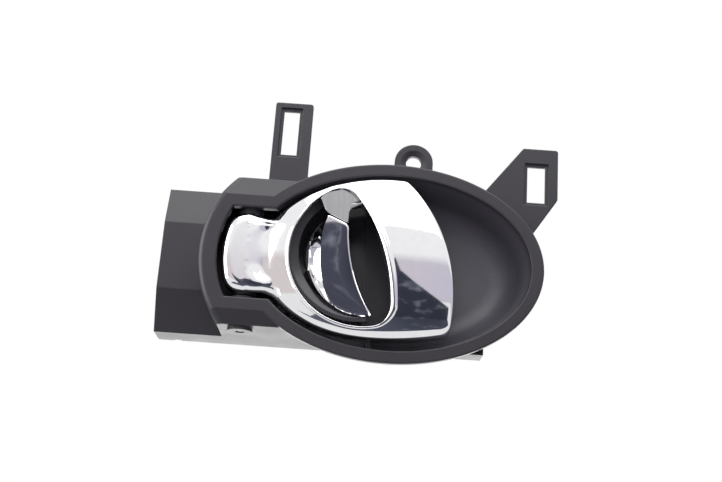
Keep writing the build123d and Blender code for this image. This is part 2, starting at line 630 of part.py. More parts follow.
with BuildPart() as pull_lever:
    # Head under one crowned, bowed surface
    with BuildSketch(front(LEVER_SKIRT)):
        add(head_outline(0))
    extrude(amount=2 * SHELF_BACK)
    fillet(pull_lever.edges().filter_by(Axis.Y).sort_by(Axis.Z)[0], GRIP_CORNER_RADIUS)
    fillet(pull_lever.edges().filter_by(Axis.Y).sort_by(Axis.Z)[-1], GRIP_TOP_RADIUS)
    with BuildSketch(ABOVE):
        add(lever_section(0))
    revolve(axis=CROWN_AXIS, mode=Mode.INTERSECT)
    crown = pull_lever.edges().filter_by(Axis.Y, reverse=True)
    fillet(crown.filter_by(lambda edge: FRONT.to_local_coords(edge.center()).Z > 0), LEVER_EDGE_RADIUS)
    # Neck, and both hollowed to a shell
    add(neck_body(0))
    add(lever_space.part, mode=Mode.SUBTRACT)
    add(neck_body(LEVER_WALL), mode=Mode.SUBTRACT)
    # Eye with its raised bead and the tongue that hangs from its top
    add(eye_wall.part)
    with BuildSketch(front(SHELF_BACK)):
        add(eye_outline(0))
    extrude(amount=2 * SHELF_BACK, mode=Mode.SUBTRACT)
    with BuildSketch(front(-TONGUE_FRONT)):
        with BuildLine():
            tip = PolarLine(TONGUE_TIP, TONGUE_TIP_LENGTH, 180 - TONGUE_TIP_LEAN)
            left = PolarLine(tip @ 1, EYE_RADIUS, 90 + TONGUE_LEFT_LEAN)
            right = PolarLine(tip @ 0, EYE_RADIUS, 90 - TONGUE_RIGHT_LEAN)
            Line(left @ 1, right @ 1)
        make_face()
        add(eye_outline(BEAD_WIDTH / 2), mode=Mode.INTERSECT)
    extrude(amount=-TONGUE_THICKNESS)
    # Hinge knuckles and the cable arm on the upper one
    for knuckle_top in (NECK_HEIGHT / 2, KNUCKLE_WIDTH - NECK_HEIGHT / 2):
        with BuildSketch(above(knuckle_top)):
            with Locations(HINGE):
                Circle(KNUCKLE_RADIUS)
        extrude(amount=KNUCKLE_WIDTH)
    with BuildSketch(above(NECK_HEIGHT / 2)):
        with Locations(Location(HINGE, -CABLE_ARM_LEAN)):
            Rectangle(CABLE_ARM_WIDTH, CABLE_ARM_LENGTH, align=(Align.CENTER, Align.MAX))
        with Locations(ARM_TIP):
            Circle(CABLE_ARM_WIDTH / 2)
            Circle(CABLE_EYE / 2, mode=Mode.SUBTRACT)
    extrude(amount=KNUCKLE_WIDTH)
    with BuildSketch(above(NECK_HEIGHT / 2)):
        with Locations(HINGE):
            Circle(LEVER_PIN / 2 + PIN_RUNNING_CLEARANCE)
    extrude(amount=NECK_HEIGHT, mode=Mode.SUBTRACT)
    pull_lever.part.label = "pull_lever"


with BuildPart() as lever_pin:
    with BuildSketch(above(LEVER_PIN_TOP)):
        with Locations(HINGE):
            Circle(LEVER_PIN / 2)
    extrude(amount=LEVER_PIN_TOP + LEVER_PIN_BOTTOM)
    chamfer(lever_pin.edges(), PIN_CHAMFER)
    lever_pin.part.label = "lever_pin"

# Lever spring as it is wound: a coil with a straight leg at each end
with BuildPart() as wound_spring:
    with BuildLine() as coil:
        turns = Helix(COIL_PITCH, COIL_HEIGHT, COIL_RADIUS)
    with BuildSketch(Plane(origin=turns @ 0, z_dir=turns % 0)):
        Circle(COIL_WIRE / 2)
    sweep(path=turns)
    with BuildSketch(Plane(origin=turns @ 0, z_dir=(0, -1, 0))):
        Circle(COIL_WIRE / 2)
    extrude(amount=FIXED_LEG)
    with BuildSketch(Plane(origin=turns @ 1, z_dir=(sin(LEG_LEAN), cos(LEG_LEAN), 0))):
        Circle(COIL_WIRE / 2)
    extrude(amount=MOVING_LEG)

with BuildPart() as lever_spring:
    with Locations(FRONT.from_local_coords((HINGE[0], -COIL_HEIGHT / 2, HINGE[1]))):
        add(wound_spring.part, rotation=(0, 0, 90 + FIXED_LEG_LEAN))
    lever_spring.part.label = "lever_spring"

with BuildPart() as lever_stops:
    with BuildSketch(front(STOP_SEAT)):
        with Locations(*STOPS):
            Circle(STOP_RADIUS)
    extrude(amount=STOP_HEIGHT)
    fillet(lever_stops.faces().group_by(Axis.Y)[0].edges(), STOP_RADIUS / 3)
    with BuildSketch(front(STOP_SEAT)):
        with Locations(*STOPS):
            Circle(STOP_STEM_RADIUS)
    extrude(amount=-STOP_STEM_LENGTH)
    lever_stops.part.label = "lever_stops"

with BuildPart() as lock_knob:
    with BuildSketch(front(KNOB_BACK)):
        with Locations(KNOB_CENTRE):
            Circle(KNOB_RADIUS)
    with BuildSketch(front(-KNOB_CREST)):
        with Locations(KNOB_FLANK_CENTRE):
            Circle(KNOB_FLANK_RADIUS)
    loft()
    with BuildSketch(front(KNOB_BACK)):
        add(knob_window(0))
    extrude(amount=KNOB_BACK + KNOB_CREST, mode=Mode.INTERSECT)
    with Locations(FRONT.location * Location((*KNOB_CROWN_CENTRE, KNOB_CREST - KNOB_CROWN))):
        Sphere(KNOB_CROWN, mode=Mode.INTERSECT)
    dome = lock_knob.faces().filter_by(GeomType.SPHERE)
    fillet(dome.edges(), KNOB_EDGE_RADIUS)
    lock_knob.part.label = "lock_knob"

with BuildPart() as lock_rocker:
    # Plate under the knob, its rib and the stem down to the hub
    with BuildSketch(front(KNOB_BACK)):
        with Locations(KNOB_CENTRE):
            Circle(KNOB_RADIUS - ROCKER_INSET)
        add(knob_window(ROCKER_INSET), mode=Mode.INTERSECT)
    extrude(amount=-ROCKER_PLATE)
    with BuildSketch(above(DISH_UP)):
        with Locations((LOCK[0], -KNOB_BACK - ROCKER_PLATE / 2)):
            Rectangle(
                ROCKER_STEM,
                LOCK_DEPTH - KNOB_BACK - ROCKER_PLATE / 2,
                align=(Align.CENTER, Align.MAX),
            )
    extrude(amount=LOCK_HUB_LENGTH / 2, both=True)
    with BuildSketch(above(DISH_UP)):
        with Locations(LOCK):
            Circle(LOCK_HUB_RADIUS)
    extrude(amount=LOCK_HUB_LENGTH / 2, both=True)
    with BuildSketch(above(DISH_UP)):
        with BuildLine():
            Polyline(
                (LOCK[0], -KNOB_BACK - ROCKER_PLATE / 2),
                (LOCK[0] + ROCKER_RIB, -KNOB_BACK - ROCKER_PLATE / 2),
                LOCK,
                close=True,
            )
        make_face()
    extrude(amount=LOCK_ARM_THICKNESS / 2, both=True)
    # Cable arm and the notched detent cam behind the hub
    with BuildSketch(above(DISH_UP)):
        with Locations(LOCK):
            Rectangle(LOCK_ARM_WIDTH, LOCK_ARM_LENGTH, align=(Align.CENTER, Align.MAX))
        with Locations((LOCK[0], LOCK[1] - LOCK_ARM_LENGTH)):
            Circle(LOCK_ARM_WIDTH / 2)
            Circle(LOCK_EYE / 2, mode=Mode.SUBTRACT)
    extrude(amount=LOCK_ARM_THICKNESS / 2, both=True)
    with BuildSketch(above(CAM_UP + DISH_UP)):
        with Locations(LOCK):
            Circle(CAM_RADIUS)
            Rectangle(
                CAM_WIDTH,
                CAM_RADIUS,
                align=(Align.CENTER, Align.MAX),
                mode=Mode.INTERSECT,
            )
        with Locations(Location(LOCK, -90 - CAM_STEP)):
            with PolarLocations(CAM_RADIUS, 2, angular_range=CAM_STEP, endpoint=True):
                Circle(CAM_NOTCH, mode=Mode.SUBTRACT)
    extrude(amount=CAM_THICKNESS / 2, both=True)
    with BuildSketch(above(DISH_UP)):
        with Locations(LOCK):
            Circle(LOCK_PIN / 2 + PIN_RUNNING_CLEARANCE)
    extrude(amount=LOCK_HUB_LENGTH, both=True, mode=Mode.SUBTRACT)
    lock_rocker.part.label = "lock_rocker"

with BuildPart() as lock_pin:
    with BuildSketch(above(DISH_UP)):
        with Locations(LOCK):
            Circle(LOCK_PIN / 2)
    extrude(amount=LUG_FACE + LOCK_LUG_WIDTH, both=True)
    chamfer(lock_pin.edges().filter_by(GeomType.CIRCLE), PIN_CHAMFER)
    lock_pin.part.label = "lock_pin"

with BuildPart() as lock_detent_spring:
    with BuildSketch(above(CAM_UP + DISH_UP)):
        with BuildLine():
            Polyline(
                (-LEAF_LEFT - LEAF_BLOCK[0] / 2, -LEAF_DEPTH),
                (LOCK[0] - LEAF_BUMP, -LEAF_DEPTH),
                (LOCK[0], LEAF_BUMP - LEAF_DEPTH),
                (LOCK[0] + LEAF_BUMP, -LEAF_DEPTH),
                (-LEAF_RIGHT, -LEAF_DEPTH),
            )
            offset(amount=LEAF_THICKNESS / 2, side=Side.BOTH)
        make_face()
    extrude(amount=LEAF_WIDTH / 2, both=True)
    lock_detent_spring.part.label = "lock_detent_spring"

os.makedirs("parts", exist_ok=True)
export_step(housing.part, "parts/housing.step")
export_step(pull_lever.part, "parts/pull_lever.step")
export_step(lever_pin.part, "parts/lever_pin.step")
export_step(lever_spring.part, "parts/lever_spring.step")
export_step(lever_stops.part, "parts/lever_stops.step")
export_step(lock_knob.part, "parts/lock_knob.step")
export_step(lock_rocker.part, "parts/lock_rocker.step")
export_step(lock_pin.part, "parts/lock_pin.step")
export_step(lock_detent_spring.part, "parts/lock_detent_spring.step")
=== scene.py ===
"""Car interior door handle: its plated lever, lock knob and finishes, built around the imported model."""

from math import cos, hypot, pi, radians, sin, sqrt, tan, tau

import bmesh
import bpy
from mathutils import Matrix, Vector


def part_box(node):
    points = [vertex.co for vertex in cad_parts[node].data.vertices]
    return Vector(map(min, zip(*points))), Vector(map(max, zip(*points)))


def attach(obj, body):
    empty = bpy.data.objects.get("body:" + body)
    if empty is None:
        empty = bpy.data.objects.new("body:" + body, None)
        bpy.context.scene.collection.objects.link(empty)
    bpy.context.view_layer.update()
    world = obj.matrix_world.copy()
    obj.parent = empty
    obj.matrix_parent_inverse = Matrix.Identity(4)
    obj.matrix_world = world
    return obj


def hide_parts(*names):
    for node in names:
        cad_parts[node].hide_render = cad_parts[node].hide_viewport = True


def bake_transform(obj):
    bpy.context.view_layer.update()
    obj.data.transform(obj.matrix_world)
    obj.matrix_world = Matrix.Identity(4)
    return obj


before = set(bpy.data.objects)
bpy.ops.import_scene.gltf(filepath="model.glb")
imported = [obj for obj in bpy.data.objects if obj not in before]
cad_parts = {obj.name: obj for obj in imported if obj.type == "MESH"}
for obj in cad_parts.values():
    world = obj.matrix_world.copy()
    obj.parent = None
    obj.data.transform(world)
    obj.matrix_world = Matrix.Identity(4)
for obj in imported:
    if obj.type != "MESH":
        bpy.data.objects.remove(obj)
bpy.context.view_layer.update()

bl_info = {
    "name": "Car interior door handle",
    "version": (1, 0, 0),
    "blender": (4, 5, 0),
    "location": "View3D > Sidebar > Door handle",
    "description": "Plated lever, lock knob and finishes of a car interior door handle",
    "category": "Add Mesh",
}

# Centre of the oval rim's face, from which the front view's right, up and out are measured
RIM_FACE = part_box("housing")[0].y
RIM_CENTRE = Vector((-0.0076, RIM_FACE, -0.0502))


def at(right, up, out):
    """Point of the front view, in the frame's metres."""
    return RIM_CENTRE + Vector((right, -out, up))


def pin_axis(node):
    """Right and out of an upright pin's axis in the front view."""
    low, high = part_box(node)
    middle = (low + high) / 2.0
    return middle.x - RIM_CENTRE.x, RIM_FACE - middle.y


def mix(first, second, part):
    """The value this part of the way from the first to the second."""
    return first + (second - first) * part


def share(value):
    """A number held between 0 and 1, eased at both ends."""
    kept = min(max(value, 0.0), 1.0)
    return kept * kept * (3.0 - 2.0 * kept)


def across_zone(value, width):
    """Share of the way across a zone of this width about zero."""
    return share(0.5 + value / width)


def eased_min(first, second, blend):
    """The smaller of two lengths, eased where they are nearly equal."""
    near = max(blend - abs(first - second), 0.0) / blend
    return min(first, second) - 0.25 * blend * near * near


def eased_max(first, second, blend):
    """The larger of two lengths, eased where they are nearly equal."""
    return -eased_min(-first, -second, blend)


def fall(radius, across):
    """How far a round of this radius has dropped this far across from its crest."""
    return radius - sqrt(max(radius**2 - across**2, 0.0))


def inside_circle(point, circle):
    """Depth of a point inside a circle."""
    centre, radius = circle
    return radius - (point - centre).length


def inside_oval(point, half):
    """Depth of a point inside an oval, true near its edge."""
    level = hypot(point.x / half[0], point.y / half[1])
    slope = hypot(point.x / half[0] ** 2, point.y / half[1] ** 2)
    return (1.0 - level) * level / slope


# Nearest and furthest that an outline is looked for from a piece's middle, and how finely
SEARCH_NEAR = 0.004
SEARCH_FAR = 0.12
SEARCH_HALVINGS = 36
# Headings tried for each that is kept
HEADINGS_TRIED = 6


def reach(depth, start, heading, near=SEARCH_NEAR, far=SEARCH_FAR):
    """Distance from a start, along a heading, at which a depth falls to nothing."""
    for _ in range(SEARCH_HALVINGS):
        middle = (near + far) / 2.0
        if depth(start + middle * heading) > 0.0:
            near = middle
        else:
            far = middle
    return near


def even_headings(depth, start, count):
    """Headings from a start that meet an outline at even steps along it."""
    fine = HEADINGS_TRIED * count
    headings = [Vector((cos(step * tau / fine), sin(step * tau / fine))) for step in range(fine)]
    edge = [start + reach(depth, start, heading) * heading for heading in headings]
    walked = [0.0]
    for step in range(fine):
        walked.append(walked[-1] + (edge[(step + 1) % fine] - edge[step]).length)
    even = []
    for step in range(fine):
        if walked[step] >= walked[-1] * len(even) / count:
            even.append(headings[step])
    return even


def corners_of(grown):
    """Vertices among what a mesh operator made."""
    return [item for item in grown if isinstance(item, bmesh.types.BMVert)]


def open_edges_of(grown):
    """Edges among what a mesh operator made that have a face on one side only."""
    return [item for item in grown if isinstance(item, bmesh.types.BMEdge) and item.is_boundary]


def grow_skin(shape, columns):
    """Grows a skin from a circle with a vertex for each column, by one extrusion for each further place."""
    order = shape.verts.layers.int.new("order")
    verts = bmesh.ops.create_circle(shape, cap_ends=False, segments=len(columns), radius=1.0)["verts"]
    edges = shape.edges[:]
    for number, vert in enumerate(verts):
        vert[order] = number
        vert.co = columns[number][0]
    for row in range(1, len(columns[0])):
        grown = bmesh.ops.extrude_edge_only(shape, edges=edges)["geom"]
        edges = open_edges_of(grown)
        for vert in corners_of(grown):
            vert.co = columns[vert[order]][row]
    bmesh.ops.recalc_face_normals(shape, faces=shape.faces)


def round_edges(shape, edges, radius):
    """Rounds edges of a shape."""
    bmesh.ops.bevel(
        shape, geom=edges, offset=radius, segments=3, profile=0.5, affect="EDGES", material=-1,
        clamp_overlap=True,
    )


# Share of a boss's wall that its cut corners take, and its steps round
BUSH_CUT = 0.15
BUSH_STEPS = 40


def add_bush(shape, centre, bore, radius, length):
    """A bored boss about an upright axis: a section with cut corners spun round it."""
    cut = BUSH_CUT * (radius - bore)
    half = length / 2.0
    section = (
        (bore, -half + cut), (bore, half - cut), (bore + cut, half), (radius - cut, half),
        (radius, half - cut), (radius, -half + cut), (radius - cut, -half), (bore + cut, -half),
    )
    corners = [shape.verts.new(centre + Vector((far, 0.0, high))) for far, high in section]
    sides = [shape.edges.new((corners[number - 1], corners[number])) for number in range(len(corners))]
    bmesh.ops.spin(
        shape, geom=corners + sides, cent=centre, axis=(0.0, 0.0, 1.0), angle=tau, steps=BUSH_STEPS,
        use_merge=True,
    )


def add_bar(shape, first, last, width, height, radius):
    """A flat bar between two points, with rounded edges."""
    along = last - first
    turn = along.to_track_quat("X", "Z").to_matrix().to_4x4()
    size = Matrix.Diagonal((along.length, width, height, 1.0))
    seat = Matrix.Translation((first + last) / 2.0) @ turn @ size
    corners = bmesh.ops.create_cube(shape, size=1.0, matrix=seat)["verts"]
    sides = dict.fromkeys(side for corner in corners for side in corner.link_edges)
    round_edges(shape, list(sides), radius)


def finish_mesh(shape, name, material, corner=50.0):
    """Turns a bmesh into a smooth object of the scene, sharp only where it turns this many degrees."""
    mesh = bpy.data.meshes.new(name)
    shape.to_mesh(mesh)
    shape.free()
    mesh.shade_smooth()
    mesh.set_sharp_from_angle(angle=radians(corner))
    mesh.materials.append(material)
    piece = bpy.data.objects.new(name, mesh)
    bpy.context.scene.collection.objects.link(piece)
    return piece


def coat(node, material):
    """Gives a carried-over node one material."""
    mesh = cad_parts[node].data
    mesh.materials.clear()
    mesh.materials.append(material)


class Value:
    """A shader socket that takes part in Python sums as Math nodes."""

    def __init__(self, finish, socket):
        self.finish = finish
        self.socket = socket

    def combine(self, operation, first, second):
        return self.finish.node("ShaderNodeMath", {"operation": operation}, {0: first, 1: second})

    def __add__(self, other):
        return self.combine("ADD", self, other)

    def __radd__(self, other):
        return self.combine("ADD", other, self)

    def __sub__(self, other):
        return self.combine("SUBTRACT", self, other)

    def __rsub__(self, other):
        return self.combine("SUBTRACT", other, self)

    def __mul__(self, other):
        return self.combine("MULTIPLY", self, other)

    def __rmul__(self, other):
        return self.combine("MULTIPLY", other, self)


class Finish:
    """A material or world in the making: its node tree and the shader at its end."""

    def __init__(self, owner, shader):
        owner.use_nodes = True
        self.owner = owner
        self.tree = owner.node_tree
        self.shader = self.tree.nodes[shader]

    def node(self, kind, settings=None, sockets=None, output=0):
        """Adds a node, sets it up, fills or links its sockets and returns one of its outputs."""
        made = self.tree.nodes.new(kind)
        for name, setting in (settings or {}).items():
            setattr(made, name, setting)
        for name, value in (sockets or {}).items():
            self.feed(made.inputs[name], value)
        return Value(self, made.outputs[output])

    def feed(self, socket, value):
        """Links a value to a socket, or sets the socket to it."""
        if isinstance(value, Value):
            self.tree.links.new(value.socket, socket)
        else:
            socket.default_value = value

    def set(self, **sockets):
        """Feeds the end shader's sockets, named with underscores for spaces."""
        for name, value in sockets.items():
            self.feed(self.shader.inputs[name.replace("_", " ")], value)


def new_finish(name):
    """A material with a principled shader at its end."""
    return Finish(bpy.data.materials.new(name), "Principled BSDF")


def place(finish):
    """Object coordinates: every piece sits at the origin, so they are the frame's metres."""
    return finish.node("ShaderNodeTexCoord", output="Object")


def part_along(finish, vector, axis):
    """One part of a vector: X, Y or Z."""
    return finish.node("ShaderNodeSeparateXYZ", None, {0: vector}, axis)


def noise(finish, scale, detail):
    """Even noise with this many cells to a metre."""
    sockets = {"Vector": place(finish), "Scale": scale, "Detail": detail}
    return finish.node("ShaderNodeTexNoise", None, sockets)


def stretched_noise(finish, scale, stretch):
    """Noise drawn out along one way by a scale for each axis."""
    lines = finish.node("ShaderNodeMapping", None, {"Vector": place(finish), "Scale": stretch})
    return finish.node("ShaderNodeTexNoise", None, {"Vector": lines, "Scale": scale, "Detail": 3.0})


def bump(finish, height, distance, strength, normal=None):
    """Bump from a height between 0 and 1 that stands this many metres."""
    sockets = {"Height": height, "Distance": distance, "Strength": strength}
    if normal:
        sockets["Normal"] = normal
    return finish.node("ShaderNodeBump", None, sockets)


def soft_edges(finish, radius):
    """Surface normal eased round the edges, as a mould leaves them."""
    return finish.node("ShaderNodeBevel", {"samples": 8}, {"Radius": radius})


def held(finish, value):
    """A value held between 0 and 1."""
    return finish.node("ShaderNodeClamp", None, {"Value": value})


def past_level(finish, value, level, slope):
    """0 up to a level, and from there up to 1 at a slope."""
    return held(finish, (value - level) * slope)


def blended(finish, first, second, part):
    """A colour between two others."""
    return finish.node("ShaderNodeMix", {"data_type": "RGBA"}, {0: part, 6: first, 7: second}, 2)


def patchy(finish, colour, least, part):
    """A colour that falls to this share of its strength where the part is 0."""
    dark = [least * light for light in colour[:3]] + [1.0]
    return blended(finish, dark, colour, part)


class HANDLE_PG_colours(bpy.types.PropertyGroup):
    """Colours of the finishes."""

    moulding: bpy.props.FloatVectorProperty(
        name="Moulding", description="Grained outside of the housing", subtype="COLOR",
        size=4, min=0.0, max=1.0, default=(0.0205, 0.0185, 0.0235, 1.0),
    )
    # Painted light: a lighter copy of the moulding that brightens the shaded recess of the pocket
    pocket: bpy.props.FloatVectorProperty(
        name="Pocket", description="Smooth walls of the finger pocket", subtype="COLOR",
        size=4, min=0.0, max=1.0, default=(0.052, 0.049, 0.062, 1.0),
    )
    dust: bpy.props.FloatVectorProperty(
        name="Dust", description="Specks in the finger pocket", subtype="COLOR",
        size=4, min=0.0, max=1.0, default=(0.10, 0.10, 0.11, 1.0),
    )
    rocker: bpy.props.FloatVectorProperty(
        name="Rocker", description="Rocker behind the lock knob", subtype="COLOR",
        size=4, min=0.0, max=1.0, default=(0.020, 0.020, 0.022, 1.0),
    )
    plating: bpy.props.FloatVectorProperty(
        name="Plating", description="Bright plating of lever and knob", subtype="COLOR",
        size=4, min=0.0, max=1.0, default=(0.88, 0.88, 0.90, 1.0),
    )
    # Painted reflection: darker than the plating, for the grey that the tongue reflects
    tongue: bpy.props.FloatVectorProperty(
        name="Tongue", description="Duller plating of the tongue", subtype="COLOR",
        size=4, min=0.0, max=1.0, default=(0.48, 0.475, 0.49, 1.0),
    )
    pins: bpy.props.FloatVectorProperty(
        name="Pins", description="Blackened steel of the pins", subtype="COLOR",
        size=4, min=0.0, max=1.0, default=(0.11, 0.11, 0.115, 1.0),
    )
    springs: bpy.props.FloatVectorProperty(
        name="Springs", description="Drawn steel of the springs", subtype="COLOR",
        size=4, min=0.0, max=1.0, default=(0.40, 0.40, 0.42, 1.0),
    )
    stops: bpy.props.FloatVectorProperty(
        name="Stops", description="Rubber of the lever's stops", subtype="COLOR",
        size=4, min=0.0, max=1.0, default=(0.035, 0.034, 0.033, 1.0),
    )


# Finger pocket's half width and half height, and how far behind the rim's face its finish begins
POCKET_HALF = (0.063, 0.041)
POCKET_START = 0.0008
# How far right the polish of the dish reaches, as a share of its radius
DISH_RIGHT = 0.1
# How steeply those finishes set in: at their ovals, behind the face for each metre, and to left or right
OVAL_EDGE = 25.0
FACE_EDGE = 1500.0
POCKET_LEFT_EDGE = 4.0
DISH_RIGHT_EDGE = 8.0


def inside_ring(finish, centre, half):
    """1 behind the rim's face inside an oval of the front view, and how far right of its middle."""
    where = place(finish)
    middle = at(*centre, 0.0)
    across = (part_along(finish, where, "X") - middle.x) * (1.0 / half[0])
    upward = (part_along(finish, where, "Z") - middle.z) * (1.0 / half[1])
    behind = past_level(finish, part_along(finish, where, "Y"), RIM_FACE + POCKET_START, FACE_EDGE)
    inside = held(finish, (1.0 - across * across - upward * upward) * OVAL_EDGE)
    return inside * behind, across


def in_pocket(finish):
    """1 on the smooth walls of the finger pocket, where the colour is also painted lighter, 0 on the grained
    outside.
    """
    inside, across = inside_ring(finish, (0.0, 0.0), POCKET_HALF)
    return inside * held(finish, across * POCKET_LEFT_EDGE)


def in_dish(finish):
    """1 in the polished dish around the lock knob."""
    centre, radius = EYE
    inside, across = inside_ring(finish, centre, (radius, radius))
    return inside * held(finish, (DISH_RIGHT - across) * DISH_RIGHT_EDGE)


def moulded_black(colours):
    """Black moulding compound: fine grain outside, dust in the smooth pocket, gloss in the dish; the pocket's
    colour is painted lighter, as light in its shaded recess.
    """
    finish = new_finish("moulded_black")
    pocket = in_pocket(finish)
    # Painted light: the pocket takes the lighter colour, brightening its shaded recess
    shade = blended(finish, colours.moulding, colours.pocket, pocket)
    grain = noise(finish, 3400.0, 3.0)
    cloud = noise(finish, 55.0, 4.0)
    dust = past_level(finish, noise(finish, 900.0, 0.0), 0.76, 14.0) * pocket
    finish.set(
        Base_Color=blended(finish, shade, colours.dust, 0.35 * dust),
        Roughness=0.30 + 0.14 * cloud + 0.12 * pocket - 0.16 * in_dish(finish),
        Specular_IOR_Level=0.4,
        Coat_Weight=0.5 * pocket,
        Coat_Roughness=0.45,
        Normal=bump(finish, grain, 0.00003, 0.5, soft_edges(finish, 0.0006)),
    )
    return finish.owner


def rocker_black(colours):
    """Tougher, smoother black for the rocker."""
    finish = new_finish("rocker_black")
    flow = stretched_noise(finish, 300.0, (1.0, 0.2, 1.0))
    finish.set(
        Base_Color=patchy(finish, colours.rocker, 0.5, flow),
        Roughness=0.28 + 0.15 * flow,
        Normal=bump(finish, noise(finish, 2500.0, 2.0), 0.00002, 0.3, soft_edges(finish, 0.0003)),
    )
    return finish.owner


def plated(colours):
    """Bright plating with a faint haze from wiping."""
    finish = new_finish("bright_plating")
    haze = noise(finish, 240.0, 5.0)
    wipe = stretched_noise(finish, 900.0, (1.0, 1.0, 0.08))
    finish.set(
        Base_Color=patchy(finish, colours.plating, 0.91, haze),
        Metallic=1.0,
        Roughness=0.02 + 0.03 * haze + 0.03 * wipe,
    )
    return finish.owner


def satin_plated(colours):
    """Duller plating on the tongue, which is stamped and not polished, so rougher; its darker colour is a
    painted grey reflection.
    """
    finish = new_finish("satin_plating")
    haze = stretched_noise(finish, 700.0, (1.0, 1.0, 0.15))
    # The darker colour is a painted grey reflection
    finish.set(
        Base_Color=patchy(finish, colours.tongue, 0.71, haze),
        Metallic=1.0,
        Roughness=0.08 + 0.08 * haze,
    )
    return finish.owner


def turned_steel(colours):
    """Blackened steel with the rings that turning leaves."""
    finish = new_finish("turned_steel")
    rings = stretched_noise(finish, 400.0, (0.1, 0.1, 20.0))
    finish.set(
        Base_Color=patchy(finish, colours.pins, 0.41, rings),
        Metallic=1.0,
        Roughness=0.20 + 0.20 * rings,
    )
    return finish.owner


def spring_steel(colours):
    """Dark drawn wire with patches of scale."""
    finish = new_finish("spring_steel")
    scale = noise(finish, 900.0, 5.0)
    finish.set(
        Base_Color=patchy(finish, colours.springs, 0.38, scale),
        Metallic=1.0,
        Roughness=0.24 + 0.22 * scale,
    )
    return finish.owner


def stop_rubber(colours):
    """Matt rubber with a bloom."""
    finish = new_finish("stop_rubber")
    bloom = noise(finish, 500.0, 5.0)
    finish.set(
        Base_Color=patchy(finish, colours.stops, 0.29, bloom),
        Roughness=0.65 + 0.2 * bloom,
        Normal=bump(finish, noise(finish, 2600.0, 2.0), 0.00004, 0.5),
    )
    return finish.owner


# Lever's outline in the front view, right and up of the rim's centre: ovals and circles
HEAD_OVAL = (0.0605, 0.0385)
LOW_BOW = (Vector((-0.006, 0.0985)), 0.1352)
GRIP_BOW = (Vector((-0.0537, -0.0189)), 0.0821)
EYE = (Vector((-0.0126, 0.0016)), 0.0336)
EYE_BOW = (Vector((-0.0933, -0.0274)), 0.0941)
NECK_END = (Vector((-0.033, 0.0)), 0.0439)
NECK_HALF_HEIGHT = 0.019

# Lengths over which the outline's stretches run into one another
FOOT_BLEND = 0.002
GRIP_TOP_BLEND = 0.0012
GRIP_FOOT_BLEND = 0.004
NECK_BLEND = 0.006
HEAD_TO_NECK_BLEND = 0.004
EYE_BLEND = 0.008

# Lever's surface: the bow and crown of its ring, and the neck that falls to a valley beside it
LEVER_BOW = (Vector((-0.004, -0.116)), 0.126)
LEVER_CROWN_DEPTH = 0.095
RING_TO_NECK_BLEND = 0.004
NECK_TOP = 0.0007
NECK_SHOULDER = -0.0652
NECK_LENGTH = 0.013
NECK_END_SLOPE = 4.0
VALLEY_RADIUS = 0.008
VALLEY_HALF_HEIGHT = 0.0145
VALLEY_FADE = 0.009
VALLEY_UPPER_CORNER = 0.85
VALLEY_LOWER_CORNER = 0.25

# Bead along the eye: where it grows from its fine left side to its full right side
BEAD_MIDDLE = 0.004
BEAD_FADE = 0.012
BEAD_LEFT_WIDTH = 0.4
BEAD_LEFT_RISE = 0.3
BEAD_MOST_OF_BAND = 0.3
BEAD_CORNER = 0.0004
BEAD_CORNER_PART = 1.0 / 6.0

# How far the eye's wall reaches behind the rim's face, and the ring of places half way up it
EYE_WALL_FOOT = 0.0015
EYE_WALL_MIDDLE = 0.001

# Lengths over which the outer edge's roll changes, and the most of the band that it takes
ROLL_FADE = 0.03
ROLL_FADE_AT_GRIP = 0.010
ROLL_FADE_AT_NECK = 0.008
ROLL_MOST_OF_BAND = 0.62
LEAST_SKIRT = 0.0004

# Places along the lever's skin
LEVER_HEADINGS = 400
ROUND_STEPS = 10
RING_STEPS = 40
SKIRT_PARTS = (0.3, 1.0)

# Where the neck runs into the ring, from the rim's centre, and how often the skin is smoothed there
JUNCTION_LEFT = -0.0650
JUNCTION_RIGHT = -0.0490
JUNCTION_BACK = 0.0060
JUNCTION_HALF_HEIGHT = 0.0205
JUNCTION_PASSES = 14


class HANDLE_PG_lever(bpy.types.PropertyGroup):
    """Plated pull lever."""

    wall: bpy.props.FloatProperty(
        name="Wall", description="Thickness of the plated shell", default=0.0018, unit="LENGTH"
    )
    bead_width: bpy.props.FloatProperty(
        name="Bead width", description="Width of the bead along the eye's right edge", default=0.0027,
        unit="LENGTH",
    )
    bead_rise: bpy.props.FloatProperty(
        name="Bead rise", description="How far the bead stands over the ring", default=0.0008, unit="LENGTH"
    )
    top_roll: bpy.props.FloatProperty(
        name="Top roll", description="Radius of the head's upper edge", default=0.002, unit="LENGTH"
    )
    ring_roll: bpy.props.FloatProperty(
        name="Ring roll", description="Radius of the lower edge under the eye", default=0.003, unit="LENGTH"
    )
    foot_roll: bpy.props.FloatProperty(
        name="Foot roll", description="Radius of the lower edge under the grip", default=0.0036, unit="LENGTH"
    )
    grip_roll: bpy.props.FloatProperty(
        name="Grip roll", description="Radius of the grip's right edge", default=0.0018, unit="LENGTH"
    )
    neck_roll: bpy.props.FloatProperty(
        name="Neck roll", description="Radius of the neck's edges", default=0.0048, unit="LENGTH"
    )
    head_skirt: bpy.props.FloatProperty(
        name="Head skirt", description="How far the head's edge reaches behind the rim's face",
        default=0.0055, unit="LENGTH",
    )
    neck_skirt: bpy.props.FloatProperty(
        name="Neck skirt", description="How far the neck's edge reaches behind the rim's face",
        default=0.012, unit="LENGTH",
    )


def inside_oval_head(point):
    """Depth inside the head's oval and the flatter bow along its foot."""
    return eased_min(inside_oval(point, HEAD_OVAL), inside_circle(point, LOW_BOW), FOOT_BLEND)


def inside_head(point):
    """Depth inside the head, with a tight corner at the grip's top and a rounder one at its foot."""
    corner = GRIP_TOP_BLEND if point.y > 0.0 else GRIP_FOOT_BLEND
    return eased_min(inside_oval_head(point), inside_circle(point, GRIP_BOW), corner)


